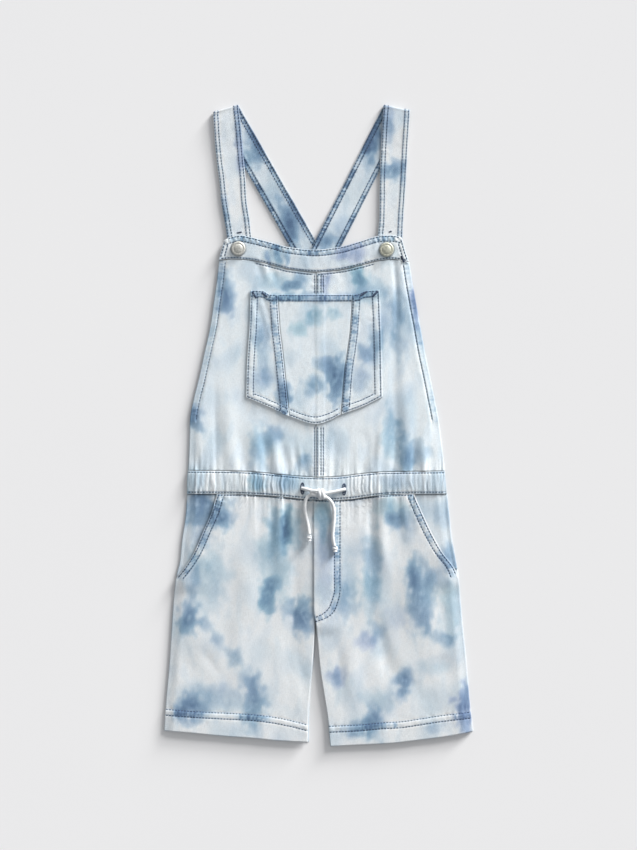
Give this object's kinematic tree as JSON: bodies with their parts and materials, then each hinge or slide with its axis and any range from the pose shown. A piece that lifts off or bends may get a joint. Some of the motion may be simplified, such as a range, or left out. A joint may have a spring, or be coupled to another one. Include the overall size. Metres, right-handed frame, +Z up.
{
  "type": "denim short overalls",
  "caption": "Tie-dye denim short overalls with buttoned shoulder straps, a bib pocket and a drawstring elastic waist, laid flat with the front up.",
  "frame": {"origin": "middle of the footprint, on the surface that the garment lies on", "axes": "+Z up, out of the garment's front; +Y along the garment to the shoulders; +X to the right of a viewer who looks down at the front"},
  "size_m": [0.3458, 0.718, 0.016],
  "materials": {
    "denim": "bleached cotton denim, tie-dyed with soft blue blots, matt",
    "pocket_facing": "the same denim, in the shade of the pocket opening",
    "button_metal": "satin silver metal, domed",
    "drawstring_cotton": "round braided white cotton cord"
  },
  "bodies": {
    "root": {"bib_left": "denim", "bib_right": "denim", "bib_band": "denim", "pocket_left": "denim", "pocket_centre": "denim", "pocket_right": "denim", "back_bib": "denim", "waistband_front": "denim", "waistband_back": "denim", "front_leg_left": "denim", "front_leg_right": "denim", "back_leg_left": "denim", "back_leg_right": "denim", "strap_left": "denim", "strap_right": "denim", "hip_facing_left": "pocket_facing", "hip_facing_right": "pocket_facing", "button_left": "button_metal", "button_right": "button_metal", "drawstring_neck_left": "drawstring_cotton", "drawstring_neck_right": "drawstring_cotton", "drawstring_knot": "drawstring_cotton", "drawstring_tail_left": "drawstring_cotton", "drawstring_tail_right": "drawstring_cotton", "stopper_knot_left": "drawstring_cotton", "stopper_knot_right": "drawstring_cotton"}
  },
  "joints": []
}
